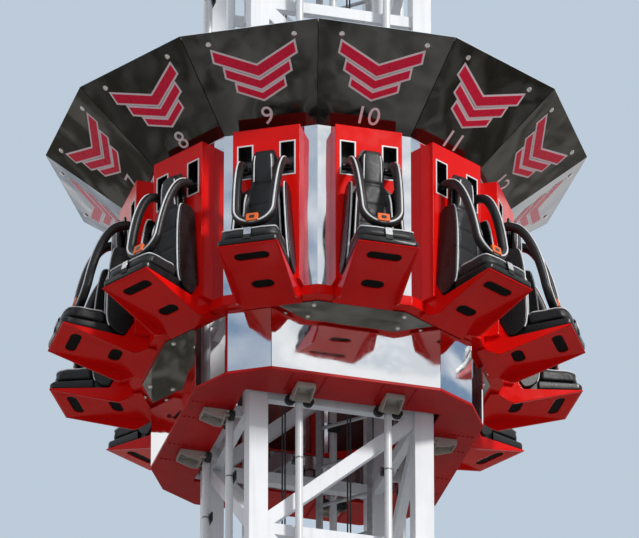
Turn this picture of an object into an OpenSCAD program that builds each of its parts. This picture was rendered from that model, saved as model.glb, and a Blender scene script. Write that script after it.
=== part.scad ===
// Drop tower ride: a square lattice mast with pipe guide rails, and a ring of twelve
// outward-facing seats that slides on it. Millimetres, +Z up, origin at the centre of the
// underside of the base frame. The front face of the mast looks along -Y.

/* [Mast] */
// Distance from the mast's axis to the centre of each column
mast_half = 550; // [500:10:600]
// Width of each square column
col_w = 125; // [100:5:140]
// Wall thickness of each square column
col_wall = 8; // [5:1:12]
// Height of one lattice panel
bay_h = 970; // [900:10:1040]
// Number of lattice panels, two to a whole zigzag bay
bays = 12; // [10:2:14]
// Width of the horizontal bars
strut_w = 80; // [60:5:90]
// Width of the diagonal bars
diagonal_w = 90; // [60:5:100]
// Depth of the bars through the lattice
bar_depth = 60; // [40:5:80]

/* [Base and head] */
// Height of the base frame's beams
base_h = 120; // [100:10:160]
// Width of the base frame's beams
base_beam_w = 160; // [130:10:200]
// Side of each foot flange
flange_w = 320; // [280:10:360]
// Thickness of each foot flange
flange_t = 25; // [15:1:35]
// Thickness of the head plate
head_plate_t = 25; // [15:1:40]
// Radius of the head sheaves
sheave_r = 230; // [180:10:260]
// Width of each sheave
sheave_w = 50; // [40:2:60]
// Radius of the lifting cable
cable_r = 10; // [6:1:12]

/* [Guide rails] */
// Distance of each rail from the middle of its face
rail_x = 295; // [270:5:310]
// Outer radius of the guide rail pipe
rail_r = 25; // [20:1:30]
// Gap between the column's face and the pipe
rail_gap = 22; // [15:1:30]
// Thickness of the rail's carrier plates
carrier_t = 12; // [8:1:16]

/* [Ladder] */
// Width of the ladder over its side rails
ladder_w = 420; // [380:10:460]
// Spacing of the rungs
rung_pitch = 285; // [260:5:320]

/* [Carriage ring] */
// Height of the seat ring's top above the mast's base, at rest
carriage_z = 6720; // [6400:10:7000]
// Circumradius of the ring at the folded mirror strips
strip_r = 1204; // [1190:1:1220]
// Thickness of the mirror strips
strip_t = 6; // [4:1:8]
// Height of the mirror strips
strip_h = 1178; // [1160:1:1200]
// Height of the red bottom ring
bottom_ring_h = 70; // [60:1:90]
// How far the bottom ring stands out from the mirror strips
bottom_ring_step = 10; // [6:1:14]
// Height of the top ring
top_ring_h = 70; // [50:1:90]
// Width of the top ring
top_ring_w = 72; // [60:1:90]
// Width of the bottom ring, inwards from the strips
bottom_ring_w = 98; // [90:1:110]
// Side of the square posts between the rings
ring_post_w = 50; // [40:1:56]

/* [Seat panels] */
// Width of each red seat panel
panel_w = 445; // [430:5:460]
// How far each panel stands out from the ring
panel_d = 110; // [95:1:120]
// How far the panel's top is below the ring's top
panel_drop = 42; // [30:1:60]
// Width of each dark window in a panel
window_w = 90; // [70:1:110]
// Height of each dark window
window_h = 236; // [200:1:260]
// Thickness of the panel's rear sheet behind a window
window_back = 12; // [8:1:20]
// Margin between a window and the panel's side
window_side = 37; // [25:1:50]
// Margin between a window and the panel's top
window_top = 122; // [100:1:150]

/* [Canopy] */
// Circumradius of the canopy's upper edge
canopy_r = 1778; // [1740:1:1820]
// Rise of the canopy above the ring's top
canopy_rise = 456; // [400:1:500]
// Thickness of each canopy panel
canopy_t = 8; // [6:1:12]
// Half of the gap between two canopy panels
canopy_seam = 3; // [2:0.5:6]
// Depth of each canopy rib
rib_d = 40; // [30:1:60]
// Thickness of each canopy rib
rib_t = 12; // [8:1:16]

/* [Lower plate] */
// Distance from the axis to a long side of the lower plate
plate_a = 960; // [940:1:980]
// Half of the length of a long side
plate_side = 560; // [540:1:580]
// Distance from the ring's top down to the plate's underside
plate_drop = 1719; // [1690:1:1760]
// Thickness of the lower plate
plate_t = 20; // [12:1:30]
// Thickness of the mirror skirt panels
skirt_t = 8; // [5:1:12]
// Thickness of the smoked panels under the ring
smoked_t = 8; // [5:1:12]
// Half of the width of each smoked panel
smoked_half = 520; // [480:5:540]
// Side of the square hangers that carry the plate
hanger_w = 50; // [40:1:52]

/* [Guide rollers] */
// Radius of each roller
roller_r = 35; // [28:1:40]
// Width of each roller
roller_w = 30; // [24:1:36]
// Gap between a roller and its pipe
roller_gap = 0.5; // [0.3:0.1:1]
// Height of the roller bracket
bracket_h = 80; // [70:1:100]
// Length of the roller bracket
bracket_l = 180; // [150:5:200]

/* [Seats] */
// Width of each red seat pod
pod_w = 400; // [380:5:420]
// Distance from the axis to the front tip of a pod
pod_reach = 1745; // [1700:1:1800]
// Thickness of the flanges along a pod's sides
flange_rim = 12; // [8:1:16]
// Thickness of the seat's side wings
wing_t = 22; // [16:1:26]
// Half of the seat's width at the hips
hip_half = 205; // [195:1:215]
// Half of the seat's width at the shoulders
shoulder_half = 165; // [155:1:175]
// Thickness of the back cushion
back_cushion_t = 52; // [40:1:60]
// Height of the seat cushion
seat_cushion_h = 105; // [90:1:115]

/* [Restraints] */
// Distance from the panel's front back to the restraint's pivot
pivot_back = 34; // [30:1:36]
// Distance from the ring's top down to the pivot
pivot_drop = 330; // [325:1:335]
// Radius of the pivot shaft
shaft_r = 12; // [9:1:14]
// Running clearance between the shaft and the restraint's hub
shaft_gap = 0.05; // [0.03:0.01:0.08]
// Outer radius of the hub
hub_r = 24; // [20:1:26]
// Length of each hub
hub_l = 60; // [50:1:66]
// Thickness of the padded loop, front to back
loop_t = 56; // [48:1:62]
// Width of the padded loop's tube
loop_w = 58; // [50:1:66]

/* [Hidden] */
seats = 12;
step = 360 / seats;
half_step = step / 2;
fit = 0.3;
touch = 0.02;

// Levels of the lattice nodes, from the first just above the base
first_node = base_h + 60;
function level(k) = first_node + k * bay_h;
mast_top = level(bays) + 60;
col_face = mast_half + col_w / 2;
rail_y = col_face + rail_gap + rail_r;

// The ring's flat sides, as distances from the axis
strip_a = strip_r * cos(half_step);
ring_out = strip_a - strip_t - touch;
bottom_out = strip_a + bottom_ring_step;
ring_bottom = -strip_h - bottom_ring_h;
bottom_in = ring_out - bottom_ring_w;
top_in = ring_out - top_ring_w;
panel_front = strip_a + panel_d;
window_mid = panel_w / 2 - window_side - window_w / 2;
pivot_u = panel_front - pivot_back;
pivot_z = -pivot_drop;
shell_rear = panel_front + 8;
back_front = shell_rear + 30;

module at_seats() {
    for (k = [0 : seats - 1]) rotate([0, 0, k * step]) children();
}

module at_vertices() {
    for (k = [0 : seats - 1]) rotate([0, 0, (k + 0.5) * step]) children();
}

module at_sides() {
    for (k = [0 : 3]) rotate([0, 0, k * 90]) children();
}

module carriage() {
    translate([0, 0, carriage_z]) children();
}

// A plate standing in the radial plane: the outline gives radius and height
module radial_plate(outline, thick) {
    translate([0, thick / 2, 0]) rotate([90, 0, 0]) linear_extrude(thick) polygon(outline);
}

// One straight side of a twelve-sided ring, mitred at both ends
module ring_side(inner, outer, low, high) {
    t = tan(half_step);
    gap = 0.2;
    translate([0, 0, low]) linear_extrude(high - low)
        polygon([[inner, -inner * t + gap], [outer, -outer * t + gap],
                 [outer, outer * t - gap], [inner, inner * t - gap]]);
}

// Mast

module base_frame() {
    reach = mast_half + base_beam_w / 2;
    color("white") {
        difference() {
            union() {
                translate([-reach, -reach, 0]) cube([2 * reach, 2 * reach, base_h - flange_t]);
                for (sx = [-1, 1], sy = [-1, 1])
                    translate([sx * mast_half - flange_w / 2, sy * mast_half - flange_w / 2, 0])
                        cube([flange_w, flange_w, base_h]);
            }
            for (sx = [-1, 1], sy = [-1, 1]) {
                pocket = reach - base_beam_w * 1.5;
                translate([sx > 0 ? base_beam_w / 2 : -base_beam_w / 2 - pocket,
                           sy > 0 ? base_beam_w / 2 : -base_beam_w / 2 - pocket, -1])
                    cube([pocket, pocket, base_h + 2]);
            }
        }
    }
}

module mast_columns() {
    color("white")
        for (sx = [-1, 1], sy = [-1, 1])
            translate([sx * mast_half, sy * mast_half, base_h + touch])
                linear_extrude(mast_top - base_h - touch) difference() {
                    square(col_w, center = true);
                    square(col_w - 2 * col_wall, center = true);
                }
}

// One lattice face in the XZ plane, between the two columns
module bracing(first_up) {
    clear = mast_half - col_w / 2 - touch;
    color("white") translate([0, -mast_half, 0]) rotate([90, 0, 0])
        linear_extrude(bar_depth, center = true) intersection() {
            translate([-clear, base_h + 5]) square([2 * clear, mast_top - base_h - 10]);
            union() {
                for (k = [0 : bays])
                    translate([-mast_half, level(k) - strut_w / 2]) square([2 * mast_half, strut_w]);
                for (k = [0 : bays - 1]) {
                    side = (k % 2 == 0) == first_up ? 1 : -1;
                    rise = atan2(bay_h, 2 * mast_half);
                    translate([0, level(k) + bay_h / 2]) rotate(side * rise)
                        square([2 * mast_half / cos(rise), diagonal_w], center = true);
                }
            }
        }
}

module guide_rails() {
    color("white")
        for (side = [-1, 1]) {
            translate([side * rail_x, -rail_y, base_h + 30])
                cylinder(h = mast_top - base_h - 40, r = rail_r, $fn = 24);
            for (k = [0 : bays])
                translate([side * rail_x - carrier_t / 2, -rail_y, level(k) - strut_w / 2])
                    cube([carrier_t, rail_y - mast_half - bar_depth / 2 - touch, strut_w]);
        }
}

module mast_head() {
    reach = mast_half + col_w / 2 + 20;
    cheek_gap = 2 * sheave_w + 60;
    color("white") {
        difference() {
            translate([-reach, -reach, mast_top + fit]) cube([2 * reach, 2 * reach, head_plate_t]);
            translate([-sheave_r - 60, -cheek_gap / 2 + 20, mast_top - 1])
                cube([2 * sheave_r + 120, cheek_gap - 40, head_plate_t + 2]);
        }
        for (side = [-1, 1])
            translate([0, side * (cheek_gap / 2 + 10), mast_top + head_plate_t + touch / 2])
                rotate([90, 0, 0]) linear_extrude(20, center = true)
                    polygon([[-200, 0], [200, 0], [80, sheave_r + 110], [-80, sheave_r + 110]]);
        translate([0, 0, mast_top + head_plate_t + sheave_r + 60]) rotate([90, 0, 0])
            cylinder(h = cheek_gap + 60, r = 30, center = true, $fn = 32);
    }
}

sheave_z = mast_top + head_plate_t + sheave_r + 60;

module head_sheaves() {
    color("dimgray")
        for (side = [-1, 1])
            translate([0, side * (sheave_w / 2 + 10), sheave_z]) rotate([90, 0, 0])
                rotate_extrude($fn = 48)
                    polygon([[30 + touch, -sheave_w / 2], [sheave_r, -sheave_w / 2],
                             [sheave_r, -cable_r - 4], [sheave_r - 22, 0], [sheave_r, cable_r + 4],
                             [sheave_r, sheave_w / 2], [30 + touch, sheave_w / 2]]);
}

module lift_cables() {
    lane = sheave_r + cable_r + touch - 8;
    color("gray")
        for (side = [-1, 1])
            translate([0, side * (sheave_w / 2 + 10), 0]) {
                for (end = [-1, 1])
                    translate([end * lane, 0, base_h - flange_t + touch])
                        cylinder(h = sheave_z - base_h + flange_t, r = cable_r, $fn = 16);
                translate([0, 0, sheave_z]) rotate([90, 0, 0])
                    rotate_extrude(angle = 180, $fn = 48) translate([lane, 0]) circle(r = cable_r, $fn = 16);
            }
}

// The ladder stands across the mast's back right corner, on stays from the horizontals
ladder_mid = 265;
ladder_foot = base_h - flange_t + touch;

module ladder() {
    rail_h = level(bays) - ladder_foot;
    bar_face = mast_half - bar_depth / 2 - touch;
    offset_x = (ladder_w / 2 - 20) * cos(45);
    color("white") {
        translate([ladder_mid, ladder_mid, 0]) rotate([0, 0, -45]) {
            for (side = [-1, 1])
                translate([side * (ladder_w / 2 - 20) - 20, -12, ladder_foot]) cube([40, 24, rail_h]);
            for (k = [0 : floor(rail_h / rung_pitch) - 1])
                translate([-ladder_w / 2 + 20, 0, ladder_foot + (k + 0.5) * rung_pitch]) rotate([0, 90, 0])
                    cylinder(h = ladder_w - 40, r = 14, $fn = 6);
        }
        for (k = [0 : 2 : bays], flip = [0, 1]) mirror([flip, -flip, 0])
            translate([ladder_mid - offset_x - 15, ladder_mid + offset_x, level(k) - 20])
                cube([30, bar_face - ladder_mid - offset_x, 40]);
    }
}

// Carriage: rings, posts and panels

module bottom_ring() {
    color("red") carriage() at_seats() ring_side(bottom_in, bottom_out, ring_bottom, -strip_h - touch);
}

module top_ring() {
    color("darkred") carriage() at_seats() ring_side(top_in, ring_out, -top_ring_h, 0);
}

module ring_posts() {
    color("darkred") carriage() at_vertices()
        translate([top_in / cos(half_step) - 8, -ring_post_w / 2, -strip_h])
            cube([ring_post_w, ring_post_w, strip_h - top_ring_h - touch]);
}

// A strip folded along the ring's corner, as wide as the space between two seat panels
module mirror_strips() {
    t = tan(half_step);
    wing = strip_a * t - panel_w / 2 - 1;
    color("silver") carriage() at_vertices() translate([0, 0, -strip_h])
        linear_extrude(strip_h) for (side = [0, 1]) mirror([0, side])
            rotate(-half_step) translate([strip_a - strip_t, 0])
                polygon([[0, (strip_a - strip_t) * t], [strip_t, strip_a * t],
                         [strip_t, strip_a * t - wing], [0, strip_a * t - wing]]);
}

module seat_panels() {
    rear = ring_out + touch;
    color("red") carriage() at_seats() difference() {
        translate([rear, -panel_w / 2, -strip_h])
            cube([panel_front - rear, panel_w, strip_h - panel_drop]);
        for (side = [-1, 1])
            translate([rear + window_back, side * window_mid - window_w / 2,
                       -panel_drop - window_top - window_h])
                cube([panel_front - rear, window_w, window_h]);
    }
}

canopy_low = strip_r - 4;
canopy_run = (canopy_r - canopy_low) * cos(half_step);
canopy_tilt = atan2(canopy_rise, canopy_run);
canopy_slant = canopy_run / cos(canopy_tilt);

module canopy_panels() {
    low_half = canopy_low * sin(half_step) - canopy_seam;
    high_half = canopy_r * sin(half_step) - canopy_seam;
    color("black") carriage() at_seats()
        translate([canopy_low * cos(half_step), 0, touch]) rotate([0, -canopy_tilt, 0])
            linear_extrude(canopy_t)
                polygon([[0, -low_half], [canopy_slant, -high_half],
                         [canopy_slant, high_half], [0, low_half]]);
}

module canopy_ribs() {
    rib_tilt = atan2(canopy_rise, canopy_r - canopy_low);
    rib_l = (canopy_r - canopy_low) / cos(rib_tilt);
    fold = 10;
    off = canopy_t / cos(fold) + rib_t / 2 * tan(fold) + fit;
    color("dimgray") carriage() at_vertices() difference() {
        translate([canopy_low, 0, 0]) rotate([0, -rib_tilt, 0])
            translate([-rib_d * 1.4, -rib_t / 2, off]) cube([rib_l - 30 + rib_d * 1.4, rib_t, rib_d]);
        translate([0, -rib_t, -200]) cube([canopy_r, 2 * rib_t, 200 + touch]);
    }
}

// Lower plate: a twelve-sided plate with four long sides and two short sides at each corner

plate_short = (plate_a - plate_side) / (cos(30) + sin(30));
function plate_corner(q) = [for (p = [[plate_a, -plate_side], [plate_a, plate_side],
                                      [plate_a - plate_short * sin(30), plate_side + plate_short * cos(30)]])
                            [p[0] * cos(q) - p[1] * sin(q), p[0] * sin(q) + p[1] * cos(q)]];
plate_outline = [for (k = [0 : 3]) each plate_corner(90 * k)];
plate_top = -plate_drop + plate_t;
hole = col_face + 38;

module lower_plate() {
    color("darkred") carriage() translate([0, 0, -plate_drop]) linear_extrude(plate_t) difference() {
        polygon(plate_outline);
        square(2 * hole, center = true);
        for (k = [0 : 3]) rotate(90 * k) for (side = [-1, 1])
            translate([0, side * rail_x - 55]) square([rail_y + rail_r + 32, 110]);
    }
}

module plate_hangers() {
    reach = bottom_in / cos(half_step) + 12;
    color("darkred") carriage() for (k = [0 : 3]) rotate([0, 0, 45 + 90 * k])
        translate([reach - hanger_w / 2, -hanger_w / 2, plate_top + touch])
            cube([hanger_w, hanger_w, -plate_top + ring_bottom - 2 * touch]);
}

skirt_top = ring_bottom - smoked_t - touch;

module mirror_skirt() {
    h = skirt_top - plate_top - 2 * touch;
    t = tan(15);
    color("silver") carriage() translate([0, 0, plate_top + touch]) {
        at_sides() translate([plate_a - skirt_t, -plate_side + 1, 0])
            cube([skirt_t, 2 * plate_side - 2, h]);
        for (q = [90, 270], side = [0, 1]) rotate([0, 0, q]) mirror([0, side, 0])
            translate([plate_a, plate_side, 0]) rotate([0, 0, 30])
                translate([-skirt_t, 3, 0]) cube([skirt_t, plate_short - 6, h]);
    }
}

module smoked_panels() {
    color("darkslategray") carriage() at_sides()
        translate([plate_a - skirt_t, -smoked_half, ring_bottom - smoked_t])
            linear_extrude(smoked_t - touch) intersection() {
                square([bottom_out, 2 * smoked_half]);
                translate([-(plate_a - skirt_t), smoked_half]) rotate(half_step)
                    circle(r = (bottom_in + 30) / cos(half_step), $fn = 12);
            }
}

module guide_bracket() {
    pin_x = rail_r + roller_gap + roller_r;
    face = rail_y + rail_r + 15;
    translate([face, -pin_x, 0]) cube([bracket_l, 2 * pin_x, bracket_h]);
    for (side = [-1, 1])
        translate([rail_y - roller_w / 2 - 4, side * pin_x, bracket_h / 2]) rotate([0, 90, 0])
            cylinder(h = face - rail_y + roller_w / 2 + 5, r = 9, $fn = 16);
}

upper_guide_z = -top_ring_h - bracket_h - 30;

module at_rails() {
    at_sides() for (side = [-1, 1]) translate([0, side * rail_x, 0]) children();
}

module roller_brackets() {
    arm_end = (top_in / cos(half_step) - 8) * cos(half_step) - ring_post_w / 2 * sin(half_step) - touch;
    face = rail_y + rail_r + 15;
    color("rosybrown") carriage() at_rails() {
        translate([0, 0, -plate_drop - bracket_h - touch]) guide_bracket();
        translate([0, 0, upper_guide_z]) guide_bracket();
        translate([face, -30, upper_guide_z + 10]) cube([arm_end - face, 60, bracket_h - 20]);
    }
}

module guide_rollers() {
    pin_x = rail_r + roller_gap + roller_r;
    color("black") carriage() at_rails()
        for (z = [-plate_drop - bracket_h / 2 - touch, upper_guide_z + bracket_h / 2], side = [-1, 1])
            translate([rail_y - roller_w / 2, side * pin_x, z]) rotate([0, 90, 0]) difference() {
                cylinder(h = roller_w, r = roller_r, $fn = 32);
                translate([0, 0, -1]) cylinder(h = roller_w + 2, r = 9.05, $fn = 16);
            }
}

// Seats: the outlines give distance from the axis and height below the ring's top.
// Points near the panel follow its front face, points near the tip follow the pod's reach.

function at(u, z) = [panel_front + u, -strip_h + z];
function tip(u, z) = [pod_reach + u, -strip_h + z];
// Height, at distance u from the axis, of the straight line through two points
function height_on(a, b, u) = a[1] + (u - a[0]) * (b[1] - a[1]) / (b[0] - a[0]);

pod_back = panel_front + fit;
// The pods end just outside the corners of the lower plate's skirt
pod_inner = norm([plate_a, plate_side]) + 6;
pod_foot = ring_bottom - smoked_t - fit;
floor_rear = [pod_inner, pod_foot - 15];
floor_front = tip(-14, 20);
lip_front = tip(-6, 32);
lip_rear = at(74, -16);
slope_top = at(17, 68);
slope_low = at(62, -12);
pod_edge = [tip(0, 24), tip(2, 29), lip_front, lip_rear, slope_low, slope_top,
            [pod_back, -strip_h + 93], [pod_back, -strip_h - fit],
            [bottom_out + fit, -strip_h - fit], [bottom_out + fit, pod_foot]];

module slot_shape(l, w) {
    square([w, l - w], center = true);
    for (side = [-1, 1]) translate([0, side * (l - w) / 2]) circle(r = w / 2, $fn = 24);
}

// A shallow floor with two pressed slots, between side flanges that deepen towards the ring
module seat_pods() {
    slope = atan2(floor_front[1] - floor_rear[1], floor_front[0] - floor_rear[0]);
    color("red") carriage() at_seats() {
        difference() {
            radial_plate(concat([[pod_inner, pod_foot], floor_rear, floor_front], pod_edge), pod_w);
            for (slot = [[pod_reach - 120, 230, 72], [lip_rear[0], 150, 80]])
                translate([slot[0], 0, height_on(floor_rear, floor_front, slot[0])])
                    rotate([0, -slope, 0]) translate([0, 0, -20])
                        linear_extrude(30) slot_shape(slot[1], slot[2]);
        }
        for (side = [-1, 1]) translate([0, side * (pod_w - flange_rim) / 2, 0])
            radial_plate(concat([at(-97, -88), at(-33, -122), at(7, -132)], pod_edge), flange_rim);
    }
}

wing_foot = -strip_h + 90;
wing_top = -520;
lean = atan2(hip_half - shoulder_half, wing_top - wing_foot);
function between_wings(z) = hip_half - wing_t / cos(lean) - (z - wing_foot) * tan(lean) - fit;
wing_front = panel_front + 177;
wing_outline = concat(
    [for (p = [[8, 93], [27, 60], [49, 20], [72, -4], [112, 6], [147, 33], [169, 73], [177, 128], [176, 193]])
        at(p[0], p[1])],
    [for (p = [[170, -310], [154, -140], [130, -25], [102, 2], [45, 4], [27, -10], [8, -40]])
        [panel_front + p[0], wing_top + p[1]]]);

module seat_wings() {
    color("black") carriage() at_seats() for (side = [0, 1]) mirror([0, side, 0])
        translate([0, hip_half, wing_foot]) rotate([lean, 0, 0]) translate([0, -wing_t / 2, -wing_foot])
            radial_plate(wing_outline, wing_t);
}

// A plate facing outwards: the outline gives half widths, from the bottom up
module facing_plate(rear, thick, edge) {
    last = len(edge) - 1;
    translate([rear, 0, 0]) rotate([90, 0, 90]) linear_extrude(thick)
        polygon(concat(edge, [for (k = [last : -1 : 0]) [-edge[k][0], edge[k][1]]]));
}

back_foot = wing_foot + 2;

module seat_backs() {
    color("black") carriage() at_seats() {
        facing_plate(shell_rear, back_front - shell_rear,
                     [[between_wings(back_foot), back_foot], [between_wings(-525), -525], [90, -495]]);
        facing_plate(back_front - 14, 14, [[92, -500], [86, -300], [60, -232]]);
        translate([panel_front + touch, -110, -900]) cube([shell_rear - panel_front, 220, 200]);
    }
}

// The base's upper line: behind the back cushion, in front of the wings, and at the nose
base_top = [[back_front + fit, -strip_h + 75], [wing_front + 3, -strip_h + 60], tip(-33, 80), tip(-1, 70)];

function on_lip(u) = [u, height_on(lip_rear, lip_front, u) + fit];

module seat_bases() {
    start = base_top[1][0];
    color("black") carriage() at_seats() {
        radial_plate([on_lip(start), on_lip(lip_front[0]), tip(6, 42),
                      base_top[3], base_top[2], base_top[1]], 2 * hip_half - 6);
        radial_plate([base_top[0],
                      [base_top[0][0], height_on(slope_top, slope_low, base_top[0][0]) + 3 * fit],
                      slope_low + [0, 3 * fit], on_lip(lip_rear[0]), on_lip(start + 1),
                      [start + 1, base_top[1][1]]],
                     2 * between_wings(wing_foot) - 2 * fit);
    }
}

module seat_cushions() {
    rear = back_front + back_cushion_t + 14;
    top = base_top[1][1] + seat_cushion_h;
    nose = pod_reach - 3;
    color("dimgray") carriage() at_seats()
        radial_plate([[rear, height_on(base_top[0], base_top[1], rear) + fit],
                      base_top[1] + [0, fit], base_top[2] + [0, fit],
                      [nose, height_on(base_top[2], base_top[3], nose) + fit], tip(4, 110),
                      [pod_reach - 20, top - 6], [pod_reach - 72, top + 8],
                      [(rear + pod_reach) / 2, top], [rear, top - 16]],
                     2 * between_wings(wing_foot) - 16);
}

module back_cushions() {
    foot = wing_foot + 45;
    color("dimgray") carriage() at_seats() {
        facing_plate(back_front + fit, back_cushion_t,
                     [[between_wings(foot) - 6, foot], [between_wings(-560) - 6, -560], [120, -528]]);
        facing_plate(back_front + fit, back_cushion_t - 8, [[84, -520], [80, -310], [54, -244]]);
    }
}

module pivot_shafts() {
    color("gray") carriage() at_seats() for (side = [-1, 1])
        translate([pivot_u, side * window_mid, pivot_z]) rotate([90, 0, 0])
            cylinder(h = window_w - 2 * touch, r = shaft_r, center = true, $fn = 32);
}

// Restraint: a padded loop swept along one arm, round the bottom and back up the other.
// Its steel ends leave the panel's windows, so they are thinner than the padding.

// The arms drop as far as keeps the loop's bottom above the seat cushion
arm_drop = strip_h - pivot_drop - 378;
arm_side = [for (p = [[10, 0, 0], [34, -0.006, 0], [62, -0.017, 0], [100, -0.034, 1],
                      [148, -0.081, 3], [192, -0.179, 5], [232, -0.328, 8], [266, -0.502, 11],
                      [292, -0.681, 14], [312, -0.851, 17], [326, -1, 20]])
            [pivot_u + p[0], pivot_z + p[1] * arm_drop, window_mid - p[2]]];
arm_last = len(arm_side) - 1;
arm_low = arm_side[arm_last];
bend_r = arm_low[2];
bend_dir = unit([0.23, -0.973]);
bend = [for (a = [15 : 15 : 165])
        [arm_low[0] + bend_dir[0] * bend_r * sin(a), arm_low[1] + bend_dir[1] * bend_r * sin(a),
         bend_r * cos(a)]];
far_side = [for (k = [arm_last : -1 : 0]) [arm_side[k][0], arm_side[k][1], -arm_side[k][2]]];
loop_path = concat(arm_side, bend, far_side);

function unit(v) = v / norm(v);
// Direction of the arm in the radial plane, at point k of one side
function profile_dir(k) =
    k == 0 ? unit([24, -3]) :
    k < arm_last ? unit([arm_side[k + 1][0] - arm_side[k - 1][0],
                         arm_side[k + 1][1] - arm_side[k - 1][1]]) :
    bend_dir;
// Thickness of the loop as a share of the padded thickness: bare steel near the pivot
function padding(k) = k < 2 ? 0.46 : k == 2 ? 0.5 : k == 3 ? 0.9 : 1;

module swept_loop(path, sides) {
    last = len(path) - 1;
    rings = [for (k = [0 : last])
        let (m = k > last / 2 ? last - k : k,
             p = [path[k][0], path[k][2], path[k][1]],
             before = path[max(k - 1, 0)],
             after = path[min(k + 1, last)],
             t = unit([after[0] - before[0], after[2] - before[2], after[1] - before[1]]),
             d = profile_dir(m),
             n = [-d[1], 0, d[0]],
             b = cross(t, n))
        for (j = [0 : sides - 1])
            let (a = 360 * (j + 0.5) / sides)
            p + padding(m) * (n * (loop_t / 2 * cos(a)) + b * (loop_w / 2 * sin(a)))];
    skin = [for (k = [0 : last - 1], j = [0 : sides - 1])
        let (a = k * sides + j, b = k * sides + (j + 1) % sides)
        each [[b, a, b + sides], [b + sides, a, a + sides]]];
    caps = [[for (j = [0 : sides - 1]) j], [for (j = [sides - 1 : -1 : 0]) last * sides + j]];
    polyhedron(rings, concat(caps, skin));
}

module restraint(k) {
    color("black") carriage() rotate([0, 0, (k - 1) * step]) difference() {
        union() {
            swept_loop(loop_path, 8);
            for (side = [-1, 1])
                translate([pivot_u, side * window_mid, pivot_z]) rotate([90, 0, 0])
                    cylinder(h = hub_l, r = hub_r, center = true, $fn = 32);
        }
        for (side = [-1, 1])
            translate([pivot_u, side * window_mid, pivot_z]) rotate([90, 0, 0])
                cylinder(h = hub_l + 20, r = shaft_r + shaft_gap, center = true, $fn = 32);
    }
}

base_frame();
mast_columns();
bracing(true);  // bracing_front
rotate([0, 0, 90]) bracing(false);  // bracing_right
rotate([0, 0, 180]) bracing(true);  // bracing_back
rotate([0, 0, 270]) bracing(false);  // bracing_left
guide_rails();  // guide_rails_front
rotate([0, 0, 90]) guide_rails();  // guide_rails_right
rotate([0, 0, 180]) guide_rails();  // guide_rails_back
rotate([0, 0, 270]) guide_rails();  // guide_rails_left
mast_head();
head_sheaves();
lift_cables();
ladder();
bottom_ring();
top_ring();
ring_posts();
mirror_strips();
seat_panels();
canopy_panels();
canopy_ribs();
lower_plate();
plate_hangers();
mirror_skirt();
smoked_panels();
roller_brackets();
guide_rollers();
seat_pods();
seat_backs();
seat_wings();
seat_bases();
seat_cushions();
back_cushions();
pivot_shafts();
for (k = [1 : seats]) restraint(k);
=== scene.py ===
import math
import bpy
import numpy as np
from mathutils import Matrix, Vector


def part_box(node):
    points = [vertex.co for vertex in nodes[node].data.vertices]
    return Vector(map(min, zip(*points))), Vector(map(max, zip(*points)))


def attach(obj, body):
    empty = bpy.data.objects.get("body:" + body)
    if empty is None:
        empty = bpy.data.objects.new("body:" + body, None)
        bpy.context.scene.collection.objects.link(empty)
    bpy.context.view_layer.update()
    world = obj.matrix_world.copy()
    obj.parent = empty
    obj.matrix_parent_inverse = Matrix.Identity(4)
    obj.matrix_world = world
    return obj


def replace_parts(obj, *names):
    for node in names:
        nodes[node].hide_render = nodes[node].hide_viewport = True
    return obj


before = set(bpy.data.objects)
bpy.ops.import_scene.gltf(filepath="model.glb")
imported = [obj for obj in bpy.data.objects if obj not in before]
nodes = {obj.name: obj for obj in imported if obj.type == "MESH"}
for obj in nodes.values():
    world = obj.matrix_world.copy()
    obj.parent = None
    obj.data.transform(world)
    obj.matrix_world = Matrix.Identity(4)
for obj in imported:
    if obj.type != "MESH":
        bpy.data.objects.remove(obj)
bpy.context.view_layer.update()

scene = bpy.context.scene

# Mast columns, lattice bars and head: white painted steel
# Square hollow sections welded to flat bars. The paint has a faint orange peel, grey rain
# streaks that run down it and a little dust in patches.

def node(tree, kind, inputs=None, **settings):
    """One shader node. Each input is a number, a colour or another node's output."""
    made = tree.nodes.new("ShaderNode" + kind)
    for key, value in settings.items():
        setattr(made, key, value)
    for key, value in (inputs or {}).items():
        if isinstance(value, bpy.types.NodeSocket):
            tree.links.new(value, made.inputs[key])
        else:
            made.inputs[key].default_value = value
    return made


def noise(tree, place, size, detail=4.0, stretch=(1.0, 1.0, 1.0)):
    """Cloudy values from 0 to 1, size clouds to the metre, drawn out along an axis by stretch."""
    spread = node(tree, "Mapping", {"Vector": place, "Scale": stretch})
    return node(tree, "TexNoise", {"Vector": spread.outputs[0], "Scale": size, "Detail": detail}).outputs[0]


def blend(tree, amount, low, high, kind="RGBA"):
    """A colour between low and high, or a number if kind is FLOAT, as amount goes from 0 to 1."""
    return node(tree, "Mix", {"Factor": amount, "A": low, "B": high}, data_type=kind).outputs["Result"]


def between(tree, value, low, high, to_low=0.0, to_high=1.0):
    """value taken from low..high to to_low..to_high, and held at the ends."""
    return node(tree, "MapRange", {"Value": value, "From Min": low, "From Max": high,
                                   "To Min": to_low, "To Max": to_high}).outputs[0]


def calc(tree, operation, first, second=0.0):
    """The result of one Math node: operation, done on first and second."""
    return node(tree, "Math", {0: first, 1: second}, operation=operation).outputs[0]


def object_place(tree):
    """The place of a point in metres, in the object's own axes."""
    return node(tree, "TexCoord").outputs["Object"]


def rgba(colour, times=1.0):
    """A colour as the sockets want it, made darker or lighter by times."""
    return (colour[0] * times, colour[1] * times, colour[2] * times, 1.0)


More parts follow.
